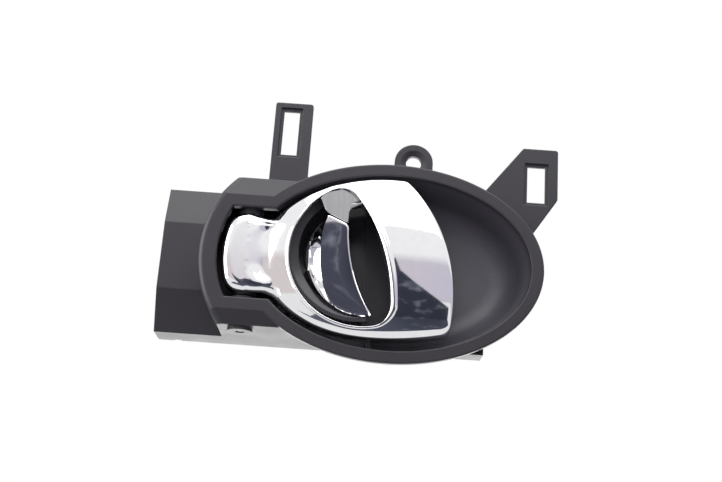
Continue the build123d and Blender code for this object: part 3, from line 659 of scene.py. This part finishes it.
def inside_neck(point):
    """Depth inside the neck, straight above and below and round at its left end."""
    return eased_min(NECK_HALF_HEIGHT - abs(point.y), inside_circle(point, NECK_END), NECK_BLEND)


def inside_lever(point):
    """Depth inside the lever's outer edge."""
    return eased_max(inside_head(point), inside_neck(point), HEAD_TO_NECK_BLEND)


def inside_eye(point):
    """Depth inside the opening round the lock knob."""
    return eased_min(inside_circle(point, EYE), inside_circle(point, EYE_BOW), EYE_BLEND)


def lever_height(point):
    """Plated surface over the rim's face: the crowned bow, and the neck that falls between flush corners."""
    centre, radius = LEVER_BOW
    bow = centre.y + sqrt(radius**2 - (point.x - centre.x) ** 2)
    ring = sqrt((bow + LEVER_CROWN_DEPTH) ** 2 - point.y**2) - LEVER_CROWN_DEPTH
    past = max(point.x - NECK_SHOULDER, 0.0)
    corner = VALLEY_LOWER_CORNER if point.y < 0.0 else VALLEY_UPPER_CORNER
    valley = mix(corner, 1.0, share((VALLEY_HALF_HEIGHT - abs(point.y)) / VALLEY_FADE))
    beyond = max(past - mix(NECK_LENGTH, VALLEY_RADIUS, valley), 0.0)
    neck = NECK_TOP - valley * fall(VALLEY_RADIUS, past) - NECK_END_SLOPE * beyond
    return eased_max(ring, neck, RING_TO_NECK_BLEND)


def bead_at(edge, band, sizes):
    """Width and rise of the bead at a point of the eye's edge, where the ring is this wide."""
    side = across_zone(inside_circle(edge, EYE) - BEAD_MIDDLE, BEAD_FADE)
    width = min(sizes.bead_width * mix(BEAD_LEFT_WIDTH, 1.0, side), BEAD_MOST_OF_BAND * band)
    return width, sizes.bead_rise * mix(BEAD_LEFT_RISE, 1.0, side) * width / sizes.bead_width


def on_neck(rim):
    """1 where a point of the outer edge is the neck's, 0 where it is the head's."""
    return across_zone(inside_neck(rim) - inside_head(rim), ROLL_FADE_AT_NECK)


def roll_at(rim, band, sizes):
    """Radius of the outer edge at one of its points, where the ring is this wide."""
    low = mix(sizes.ring_roll, sizes.foot_roll, across_zone(rim.x, ROLL_FADE))
    head = mix(low, sizes.top_roll, across_zone(rim.y, ROLL_FADE))
    grip = across_zone(inside_oval_head(rim) - inside_circle(rim, GRIP_BOW), ROLL_FADE_AT_GRIP)
    roll = mix(mix(head, sizes.grip_roll, grip), sizes.neck_roll, on_neck(rim))
    return min(roll, ROLL_MOST_OF_BAND * band)


def lever_column(heading, sizes):
    """Places of the skin along a heading: up the eye's wall, over the bead and the ring, down the skirt."""
    start = EYE[0]
    near = reach(inside_eye, start, heading)
    far = reach(inside_lever, start, heading, near)
    edge = start + near * heading
    rim = start + far * heading
    band = inside_lever(edge)
    bead, stand = bead_at(edge, band, sizes)
    roll = roll_at(rim, band, sizes)

    def out_to(depth):
        return reach(depth, start, heading, near, far)

    wall = lever_height(edge)
    drops = [(near, wall + EYE_WALL_FOOT), (near, wall / 2.0 + EYE_WALL_MIDDLE), (near, BEAD_CORNER)]
    for step in range(ROUND_STEPS + 1):
        part = step / ROUND_STEPS
        corner = BEAD_CORNER * max(1.0 - part / BEAD_CORNER_PART, 0.0) ** 2
        crest = 4.0 * stand * part * (1.0 - part)
        drops.append((out_to(lambda point: inside_eye(point) + part * bead), corner - crest))
    inner = out_to(lambda point: inside_eye(point) + bead)
    outer = out_to(lambda point: inside_lever(point) - roll)
    for step in range(1, RING_STEPS + 1):
        drops.append((mix(inner, outer, step / RING_STEPS), 0.0))
    for step in range(1, ROUND_STEPS + 1):
        across = roll * sin(step / ROUND_STEPS * pi / 2.0)
        drops.append((out_to(lambda point: inside_lever(point) - roll + across), fall(roll, across)))
    foot = mix(sizes.head_skirt, sizes.neck_skirt, on_neck(rim)) + lever_height(rim)
    for part in SKIRT_PARTS:
        drops.append((far, mix(roll, max(foot, roll + LEAST_SKIRT), part)))
    spots = [(start + distance * heading, drop) for distance, drop in drops]
    return [at(*spot, lever_height(spot) - drop) for spot, drop in spots]


def at_junction(spot):
    """Whether a place on the skin, from the rim's centre, lies where the neck runs into the ring."""
    beside = JUNCTION_LEFT < spot.x < JUNCTION_RIGHT
    return beside and spot.y < JUNCTION_BACK and abs(spot.z) < JUNCTION_HALF_HEIGHT


class HANDLE_OT_lever(bpy.types.Operator):
    """Builds the plated lever with its eye, bead, neck and tongue"""

    bl_idname = "handle.lever"
    bl_label = "Pull lever"

    def execute(self, context):
        sizes = context.scene.handle_lever
        colours = context.scene.handle_colours
        material = plated(colours)
        headings = even_headings(inside_lever, EYE[0], LEVER_HEADINGS)
        shape = bmesh.new()
        grow_skin(shape, [lever_column(heading, sizes) for heading in headings])
        junction = [vert for vert in shape.verts if at_junction(vert.co - RIM_CENTRE)]
        for _ in range(JUNCTION_PASSES):
            bmesh.ops.smooth_vert(
                shape, verts=junction, factor=0.5, use_axis_x=True, use_axis_y=True, use_axis_z=True
            )
        skin = finish_mesh(shape, "lever_skin", material)
        shell = skin.modifiers.new("shell", "SOLIDIFY")
        shell.thickness = sizes.wall
        shell.offset = -1.0
        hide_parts("pull_lever")
        for piece in (skin, lever_tongue(satin_plated(colours)), lever_hinge(material)):
            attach(piece, "lever")
        return {"FINISHED"}


# Tongue's corners in the front view, from its lower right one up the right edge, and its thickness
TONGUE = (
    (-0.0206, 0.0159), (-0.0204, 0.0214), (-0.0197, 0.0230), (-0.0182, 0.0258), (-0.0160, 0.0268),
    (-0.0135, 0.0262), (-0.0165, 0.0342), (-0.0325, 0.0298), (-0.0338, 0.0268), (-0.0311, 0.0212),
    (-0.0296, 0.0199),
)
TONGUE_FRONT = 0.0021
TONGUE_THICKNESS = 0.0018
TONGUE_EDGE = 0.0005


def lever_tongue(material):
    """The flat stop that hangs from the eye's upper edge over the lock knob."""
    shape = bmesh.new()
    corners = [shape.verts.new(at(right, up, TONGUE_FRONT - TONGUE_THICKNESS)) for right, up in TONGUE]
    face = bmesh.ops.contextual_create(shape, geom=corners)["faces"]
    front = corners_of(bmesh.ops.extrude_face_region(shape, geom=face)["geom"])
    bmesh.ops.translate(shape, verts=front, vec=(0.0, -TONGUE_THICKNESS, 0.0))
    bmesh.ops.recalc_face_normals(shape, faces=shape.faces)
    round_edges(shape, shape.edges[:], TONGUE_EDGE)
    return finish_mesh(shape, "lever_tongue", material, corner=10.0)


# Hinge behind the neck: the pin's axis, and the two knuckles with their bore and their webs
HINGE = pin_axis("lever_pin")
KNUCKLE_BORE = 0.00206
KNUCKLE_RADIUS = 0.0054
KNUCKLE_WIDTH = 0.0044
KNUCKLE_UP = 0.0164
WEB_OVERLAP = 0.003
WEB_FRONT = -0.0022
WEB_WIDTH = 0.0070
WEB_HEIGHT = 0.0036
BAR_EDGE = 0.0006

# Arm that takes the cable's end: its bar keeps from the hinge and the hole, and is a step thinner
CABLE_ARM_LENGTH = 0.019
CABLE_ARM_LEAN = radians(20.0)
CABLE_ARM_WIDTH = 0.0078
CABLE_ARM_START = 0.0040
CABLE_ARM_STOP = 0.0028
CABLE_ARM_STEP = 0.0001
CABLE_HOLE_RADIUS = 0.0023


def lever_hinge(material):
    """The two knuckles behind the neck and the cable arm."""
    right, out = HINGE
    lean = Vector((-sin(CABLE_ARM_LEAN), cos(CABLE_ARM_LEAN), 0.0))
    shape = bmesh.new()
    for up in (-KNUCKLE_UP, KNUCKLE_UP):
        add_bush(shape, at(right, up, out), KNUCKLE_BORE, KNUCKLE_RADIUS, KNUCKLE_WIDTH)
        first = at(right, up, out + WEB_OVERLAP)
        add_bar(shape, first, at(right, up, WEB_FRONT), WEB_WIDTH, WEB_HEIGHT, BAR_EDGE)
    hinge = at(right, KNUCKLE_UP, out)
    tip = hinge + CABLE_ARM_LENGTH * lean
    first = hinge + CABLE_ARM_START * lean
    last = tip - CABLE_ARM_STOP * lean
    add_bush(shape, tip, CABLE_HOLE_RADIUS, CABLE_ARM_WIDTH / 2.0, KNUCKLE_WIDTH)
    add_bar(shape, first, last, CABLE_ARM_WIDTH, KNUCKLE_WIDTH - CABLE_ARM_STEP, BAR_EDGE)
    bmesh.ops.recalc_face_normals(shape, faces=shape.faces)
    return finish_mesh(shape, "lever_hinge", material, corner=25.0)


# Lock knob's outline in the front view, and the crease between its face and its left flank
KNOB_RIM = (Vector((-0.0109, 0.0009)), 0.0266)
KNOB_BOW = (Vector((0.0533, 0.0162)), 0.0734)
KNOB_CREASE = (Vector((0.0300, 0.0040)), 0.0622)
KNOB_MIDDLE = Vector((-0.0250, -0.002))
KNOB_TOP_LEAN = radians(23.0)
KNOB_TOP_GAP = 0.0006

# Lengths over which the knob's edges run into one another
KNOB_TIP_BLEND = 0.0015
KNOB_TOP_BLEND = 0.002
KNOB_FLANK_BLEND = 0.003

# Knob's back, the least that edge and face stand over it, the rolled edge in radii, and the face's crown
KNOB_BACK = RIM_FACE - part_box("lock_knob")[1].y
KNOB_EDGE_LEAST = 0.0002
KNOB_FACE_LEAST = 0.0004
KNOB_ROLL_WIDTH = 1.5
KNOB_ROLL_DROP = 0.8
KNOB_UPRIGHT_CROWN = 0.6
KNOB_RIGHT_CROWN = 0.09
KNOB_LEFT_CROWN = 0.30
KNOB_CROWN_BEND = 32.0

# Places along the knob's skin
KNOB_HEADINGS = 240
KNOB_EDGE_STEPS = 8
KNOB_FACE_STEPS = 24


class HANDLE_PG_knob(bpy.types.PropertyGroup):
    """Plated lock knob."""

    middle: bpy.props.FloatProperty(
        name="Middle", description="Face's middle over the rim's face", default=0.0009, unit="LENGTH"
    )
    lean: bpy.props.FloatProperty(
        name="Lean", description="How far the face leans down", default=radians(7.5), subtype="ANGLE"
    )
    turn: bpy.props.FloatProperty(
        name="Turn", description="How far the face turns left", default=radians(3.0), subtype="ANGLE"
    )
    edge_roll: bpy.props.FloatProperty(
        name="Edge roll", description="Radius of the right and upper edges", default=0.0009, unit="LENGTH"
    )
    flank_width: bpy.props.FloatProperty(
        name="Flank width", description="Least width of the flank, along the knob's foot", default=0.0004,
        unit="LENGTH",
    )


def below_tongue(point):
    """Depth of a point below the line that keeps the knob clear of the tongue."""
    down = Vector((-sin(KNOB_TOP_LEAN), -cos(KNOB_TOP_LEAN)))
    return (point - Vector(TONGUE[0])).dot(down) - KNOB_TOP_GAP


def inside_knob_window(point):
    """Depth behind the knob's bowed right edge and under its straight top."""
    return eased_min(-inside_circle(point, KNOB_BOW), below_tongue(point), KNOB_TOP_BLEND)


def inside_knob(point):
    """Depth inside the knob's outline."""
    return eased_min(inside_circle(point, KNOB_RIM), inside_knob_window(point), KNOB_TIP_BLEND)


def inside_face(point, sizes):
    """Depth inside the knob's face: right of the crease, clear of the flank and of the rolled edge."""
    flank = inside_circle(point, KNOB_RIM) - sizes.flank_width
    left = eased_min(inside_circle(point, KNOB_CREASE), flank, KNOB_FLANK_BLEND)
    return min(left, inside_knob_window(point) - sizes.edge_roll)


def knob_height(point, sizes):
    """Knob's face over the rim's: leaning down, turned left and crowned about a line that bends right."""
    right, up = point - KNOB_MIDDLE
    bend = right - KNOB_CROWN_BEND * min(up, 0.0) ** 2
    face = sizes.middle + tan(sizes.lean) * up + tan(sizes.turn) * right
    side = KNOB_RIGHT_CROWN if bend > 0.0 else KNOB_LEFT_CROWN
    return face - up * up / KNOB_UPRIGHT_CROWN - bend * bend / side


def knob_column(heading, sizes):
    """Places of the skin along a heading: the back's edge, the flank or rolled edge, and the face."""
    start = KNOB_MIDDLE
    far = reach(inside_knob, start, heading)
    near = reach(lambda point: inside_face(point, sizes), start, heading, far=far)
    edge = start + near * heading
    rolled = inside_knob_window(edge) < KNOB_ROLL_WIDTH * sizes.edge_roll
    flank = knob_height(edge, sizes) - KNOB_BACK - KNOB_FACE_LEAST
    drop = KNOB_ROLL_DROP * sizes.edge_roll if rolled else flank
    column = [at(*(start + far * heading), KNOB_BACK)]
    for step in range(KNOB_EDGE_STEPS):
        part = step / KNOB_EDGE_STEPS
        spot = start + mix(far, near, part) * heading
        down = 1.0 - sqrt(part * (2.0 - part)) if rolled else 1.0 - part
        column.append(at(*spot, max(knob_height(spot, sizes) - drop * down, KNOB_BACK + KNOB_EDGE_LEAST)))
    for step in range(KNOB_FACE_STEPS):
        spot = start + near * (1.0 - step / (KNOB_FACE_STEPS + 0.5)) * heading
        column.append(at(*spot, max(knob_height(spot, sizes), KNOB_BACK + KNOB_FACE_LEAST)))
    return column


class HANDLE_OT_knob(bpy.types.Operator):
    """Builds the plated half moon in the lever's eye"""

    bl_idname = "handle.knob"
    bl_label = "Lock knob"

    def execute(self, context):
        sizes = context.scene.handle_knob
        headings = even_headings(inside_knob, KNOB_MIDDLE, KNOB_HEADINGS)
        shape = bmesh.new()
        grow_skin(shape, [knob_column(heading, sizes) for heading in headings])
        bmesh.ops.holes_fill(shape, edges=shape.edges, sides=0)
        bmesh.ops.recalc_face_normals(shape, faces=shape.faces)
        knob = finish_mesh(shape, "knob_skin", plated(context.scene.handle_colours), corner=22.0)
        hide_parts("lock_knob")
        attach(knob, "lock")
        return {"FINISHED"}


class HANDLE_OT_mouldings(bpy.types.Operator):
    """Finishes the housing, the rocker and the rubber stops"""

    bl_idname = "handle.mouldings"
    bl_label = "Mouldings"

    def execute(self, context):
        colours = context.scene.handle_colours
        coat("housing", moulded_black(colours))
        coat("lock_rocker", rocker_black(colours))
        coat("lever_stops", stop_rubber(colours))
        return {"FINISHED"}


# Corners of the spring's wire, and its steps for each turn
WIRE_CORNERS = 12
WIRE_STEPS = 32


class HANDLE_PG_spring(bpy.types.PropertyGroup):
    """Torsion spring on the lever's pin."""

    wire: bpy.props.FloatProperty(
        name="Wire", description="Thickness of the wire", default=0.0012, unit="LENGTH"
    )
    radius: bpy.props.FloatProperty(
        name="Coil radius", description="From the pin's axis to the wire's middle", default=0.0038,
        unit="LENGTH",
    )
    pitch: bpy.props.FloatProperty(
        name="Pitch", description="Rise for each turn", default=0.0015, unit="LENGTH"
    )
    turns: bpy.props.IntProperty(name="Turns", description="Turns of the coil", default=5)
    lean: bpy.props.FloatProperty(
        name="Lean", description="How far the fixed leg leans back", default=radians(17.0), subtype="ANGLE"
    )
    fixed_leg: bpy.props.FloatProperty(
        name="Fixed leg", description="Length of the leg on the housing", default=0.0185, unit="LENGTH"
    )
    moving_leg: bpy.props.FloatProperty(
        name="Moving leg", description="Length of the leg behind the neck", default=0.009, unit="LENGTH"
    )


def spring_wire(sizes, material):
    """The spring as one wire: the fixed leg, the coil up the pin and the moving leg."""
    right, out = HINGE
    wound = tau * sizes.turns - sizes.lean
    lift = sizes.pitch * wound / tau
    steps = WIRE_STEPS * sizes.turns
    axis = at(right, -lift / 2.0, out)
    leg = Vector((cos(sizes.lean), sin(sizes.lean), 0.0))
    side = Vector((-sin(sizes.lean), cos(sizes.lean), 0.0))
    begin = axis + sizes.radius * side + sizes.fixed_leg * leg
    section = Matrix.Translation(begin) @ leg.to_track_quat("Z", "X").to_matrix().to_4x4()
    shape = bmesh.new()
    bmesh.ops.create_circle(
        shape, cap_ends=False, segments=WIRE_CORNERS, radius=sizes.wire / 2.0, matrix=section
    )
    grown = bmesh.ops.extrude_edge_only(shape, edges=shape.edges)["geom"]
    bmesh.ops.translate(shape, verts=corners_of(grown), vec=-sizes.fixed_leg * leg)
    coil = bmesh.ops.spin(
        shape, geom=corners_of(grown) + open_edges_of(grown), cent=axis, axis=(0.0, 0.0, 1.0),
        dvec=(0.0, 0.0, lift / steps), angle=wound, steps=steps,
    )["geom_last"]
    grown = bmesh.ops.extrude_edge_only(shape, edges=open_edges_of(coil))["geom"]
    bmesh.ops.translate(shape, verts=corners_of(grown), vec=(-sizes.moving_leg, 0.0, 0.0))
    bmesh.ops.holes_fill(shape, edges=shape.edges, sides=0)
    bmesh.ops.recalc_face_normals(shape, faces=shape.faces)
    return finish_mesh(shape, "lever_spring_wire", material)


class HANDLE_OT_steel(bpy.types.Operator):
    """Builds the lever's spring and finishes the pins and the lock's spring"""

    bl_idname = "handle.steel"
    bl_label = "Pins and springs"

    def execute(self, context):
        colours = context.scene.handle_colours
        pins = turned_steel(colours)
        wire = spring_steel(colours)
        coat("lever_pin", pins)
        coat("lock_pin", pins)
        coat("lock_detent_spring", wire)
        spring = spring_wire(context.scene.handle_spring, wire)
        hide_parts("lever_spring")
        right, out = HINGE
        at(right, -0.003, out)
        at(right, 0.003, out)
        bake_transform(spring)
        return {"FINISHED"}


# Point of the front view that the camera looks at
CAMERA_AIM = at(-0.01437, 0.00844, 0.0)
FLOOR_HALF_WIDTH = 3.0

# Light that the room casts, and what reflections see of it below its white ceiling
WHITE = (1.0, 1.0, 1.0, 1.0)
LEFT_WALL = (0.74, 0.68, 0.67, 1.0)
RIGHT_WALL = (0.62, 0.59, 0.68, 1.0)
CEILING_START = 0.25
CEILING_EDGE = 13.0
ROOM_LIGHT = 0.22

# Dark sheet that only reflections see, glowing with a painted reflection: an upright sheet before the handle
# and its train along the floor
SHEET_NEAR = -0.95
SHEET_FOOT = -0.335
SHEET_UPRIGHT = (
    (-0.34, SHEET_FOOT), (0.64, SHEET_FOOT), (0.62, -0.21), (0.43, -0.10), (0.27, 0.0), (0.145, 0.10),
    (0.10, 0.22), (0.07, 0.16), (-0.34, 0.14),
)
SHEET_TRAIN = ((-0.50, SHEET_NEAR), (0.64, SHEET_NEAR), (0.64, -0.42), (-0.50, -0.42))
# Painted reflection: the sheet's glow, darker towards the right, and its brighter painted streaks
REFLECTED_DARK_LEFT = (0.045, 0.045, 0.066, 1.0)
REFLECTED_DARK_RIGHT = (0.016, 0.019, 0.030, 1.0)
PAINTED_REFLECTION_STREAK = (0.20, 0.21, 0.25, 1.0)

# Lamps: name, place, width, power in watts and whether reflections see it
LAMPS = (
    ("top_lamp", Vector((0.0, -0.35, 0.75)), 1.1, 11.0, True),
    ("front_lamp", Vector((-0.25, -1.0, 0.05)), 0.7, 8.0, False),
    ("side_lamp", Vector((-0.95, -0.25, 0.15)), 0.8, 8.0, True),
    ("low_lamp", Vector((0.0, 0.75, -0.28)), 0.8, 5.0, True),
)


class HANDLE_PG_stage(bpy.types.PropertyGroup):
    """Camera and floor."""

    camera_distance: bpy.props.FloatProperty(
        name="Camera distance", description="From the lens to the handle", default=0.5, unit="LENGTH"
    )
    camera_tilt: bpy.props.FloatProperty(
        name="Camera tilt", description="How far below the face's normal the lens stands",
        default=radians(18.1), subtype="ANGLE",
    )
    camera_roll: bpy.props.FloatProperty(
        name="Camera roll", description="How far the handle leans clockwise in view", default=radians(4.0),
        subtype="ANGLE",
    )
    camera_lens: bpy.props.FloatProperty(
        name="Focal length", description="On a 36 mm wide sensor", default=55.4, unit="CAMERA"
    )
    floor_drop: bpy.props.FloatProperty(
        name="Floor drop", description="Floor below the origin", default=0.34, unit="LENGTH"
    )


class HANDLE_OT_stage(bpy.types.Operator):
    """Sets up the floor, the light and the camera"""

    bl_idname = "handle.stage"
    bl_label = "Stage"

    def execute(self, context):
        scene = context.scene
        sizes = scene.handle_stage
        scene.view_settings.view_transform = "Standard"
        build_camera(scene, sizes)
        build_world(scene)
        build_floor(sizes)
        build_reflection_sheet()
        for lamp in LAMPS:
            add_lamp(*lamp)
        return {"FINISHED"}


def build_camera(scene, sizes):
    """Stands the camera below the face's normal, looking up at the handle."""
    tilt = sizes.camera_tilt
    roll = sizes.camera_roll
    ahead = Vector((0.0, cos(tilt), sin(tilt)))
    upright = Vector((0.0, -sin(tilt), cos(tilt)))
    right = cos(roll) * Vector((1.0, 0.0, 0.0)) + sin(roll) * upright
    up = right.cross(ahead)
    turn = Matrix((right, up, -ahead)).transposed().to_4x4()
    camera = bpy.data.cameras.new("camera")
    camera.lens = sizes.camera_lens
    camera.sensor_width = 36.0
    camera.clip_start = 0.01
    view = bpy.data.objects.new("camera", camera)
    view.matrix_world = Matrix.Translation(CAMERA_AIM - sizes.camera_distance * ahead) @ turn
    scene.collection.objects.link(view)
    scene.camera = view


def build_world(scene):
    """White for the camera, tinted walls in reflections, softer for the light it casts."""
    world = bpy.data.worlds.new("studio")
    scene.world = world
    sky = Finish(world, "Background")
    camera_ray = sky.node("ShaderNodeLightPath", output="Is Camera Ray")
    glossy_ray = sky.node("ShaderNodeLightPath", output="Is Glossy Ray")
    clear_ray = sky.node("ShaderNodeLightPath", output="Is Transmission Ray")
    heading = sky.node("ShaderNodeTexCoord", output="Generated")
    walls = blended(sky, LEFT_WALL, RIGHT_WALL, held(sky, 0.5 + 0.9 * part_along(sky, heading, "X")))
    ceiling = past_level(sky, part_along(sky, heading, "Z"), CEILING_START, CEILING_EDGE)
    room = blended(sky, walls, WHITE, ceiling)
    seen = held(sky, camera_ray + glossy_ray + clear_ray)
    strength = ROOM_LIGHT + (1.0 - ROOM_LIGHT) * seen
    sky.set(Color=blended(sky, WHITE, room, glossy_ray), Strength=strength)


def build_floor(sizes):
    """A wide pale floor, far enough down to stay out of the camera's way."""
    shape = bmesh.new()
    bmesh.ops.create_grid(shape, x_segments=1, y_segments=1, size=FLOOR_HALF_WIDTH)
    bmesh.ops.translate(shape, verts=shape.verts, vec=(0.0, 0.0, -sizes.floor_drop))
    paper = new_finish("pale_paper")
    fibre = noise(paper, 120.0, 4.0)
    paper.set(
        Base_Color=blended(paper, (0.83, 0.83, 0.83, 1.0), (0.87, 0.87, 0.87, 1.0), fibre),
        Roughness=0.9,
        Emission_Color=WHITE,
        Emission_Strength=0.5,
    )
    lit = Value(paper, paper.shader.outputs[0])
    white = paper.node("ShaderNodeEmission", None, {"Strength": 0.9})
    glossy_ray = paper.node("ShaderNodeLightPath", output="Is Glossy Ray")
    seen = paper.node("ShaderNodeMixShader", None, {0: glossy_ray, 1: lit, 2: white})
    paper.feed(paper.tree.nodes["Material Output"].inputs["Surface"], seen)
    floor = finish_mesh(shape, "floor", paper.owner)
    floor.visible_diffuse = False


def build_reflection_sheet():
    """A dark sheet before the handle and along the floor, which only reflections see: it glows with a painted
    reflection, darker towards the right, with brighter painted streaks.
    """
    shape = bmesh.new()
    sheet = [shape.verts.new((right, SHEET_NEAR, up)) for right, up in SHEET_UPRIGHT]
    bmesh.ops.contextual_create(shape, geom=sheet)
    train = [shape.verts.new((right, near, SHEET_FOOT)) for right, near in SHEET_TRAIN]
    bmesh.ops.contextual_create(shape, geom=train)
    glowing_sheet = new_finish("painted_reflection_sheet")
    # Painted reflection: glow darker towards the right, with brighter painted streaks where a stretched noise
    # runs high
    across = held(glowing_sheet, 0.3 + 4.0 * part_along(glowing_sheet, place(glowing_sheet), "X"))
    shade = blended(glowing_sheet, REFLECTED_DARK_LEFT, REFLECTED_DARK_RIGHT, across)
    painted_streaks = past_level(glowing_sheet, stretched_noise(glowing_sheet, 9.0, (1.0, 1.0, 2.2)), 0.57, 4.0)
    glowing_sheet.set(
        Base_Color=(0.004, 0.006, 0.012, 1.0),
        Roughness=0.9,
        Emission_Color=blended(glowing_sheet, shade, PAINTED_REFLECTION_STREAK, painted_streaks),
        Emission_Strength=1.0,
    )
    card = finish_mesh(shape, "painted_reflection_sheet", glowing_sheet.owner)
    card.visible_camera = False
    card.visible_diffuse = False
    card.visible_shadow = False


def add_lamp(name, spot, width, power, reflected):
    """A square area lamp aimed at the handle."""
    lamp = bpy.data.lights.new(name, "AREA")
    lamp.size = width
    lamp.energy = power
    stand = bpy.data.objects.new(name, lamp)
    stand.location = spot
    stand.rotation_euler = (RIM_CENTRE - spot).to_track_quat("-Z", "Y").to_euler()
    stand.visible_camera = False
    stand.visible_glossy = reflected
    bpy.context.scene.collection.objects.link(stand)


OPERATORS = (HANDLE_OT_lever, HANDLE_OT_knob, HANDLE_OT_mouldings, HANDLE_OT_steel, HANDLE_OT_stage)
GROUPS = {
    "handle_lever": HANDLE_PG_lever,
    "handle_knob": HANDLE_PG_knob,
    "handle_spring": HANDLE_PG_spring,
    "handle_colours": HANDLE_PG_colours,
    "handle_stage": HANDLE_PG_stage,
}


class HANDLE_PT_panel(bpy.types.Panel):
    """Lists the handle's pieces, sizes and colours"""

    bl_idname = "HANDLE_PT_panel"
    bl_label = "Door handle"
    bl_space_type = "VIEW_3D"
    bl_region_type = "UI"
    bl_category = "Door handle"

    def draw(self, context):
        for operator in OPERATORS:
            self.layout.operator(operator.bl_idname)
        for name, group in GROUPS.items():
            box = self.layout.box()
            for value in group.__annotations__:
                box.prop(getattr(context.scene, name), value)


def register():
    for group in GROUPS.values():
        bpy.utils.register_class(group)
    for name, group in GROUPS.items():
        setattr(bpy.types.Scene, name, bpy.props.PointerProperty(type=group))
    for operator in OPERATORS:
        bpy.utils.register_class(operator)
    bpy.utils.register_class(HANDLE_PT_panel)


def unregister():
    bpy.utils.unregister_class(HANDLE_PT_panel)
    for operator in reversed(OPERATORS):
        bpy.utils.unregister_class(operator)
    for name in GROUPS:
        delattr(bpy.types.Scene, name)
    for group in reversed(GROUPS.values()):
        bpy.utils.unregister_class(group)


def main():
    register()
    bpy.ops.handle.lever()
    bpy.ops.handle.knob()
    bpy.ops.handle.mouldings()
    bpy.ops.handle.steel()
    bpy.ops.handle.stage()


if __name__ == "__main__":
    main()
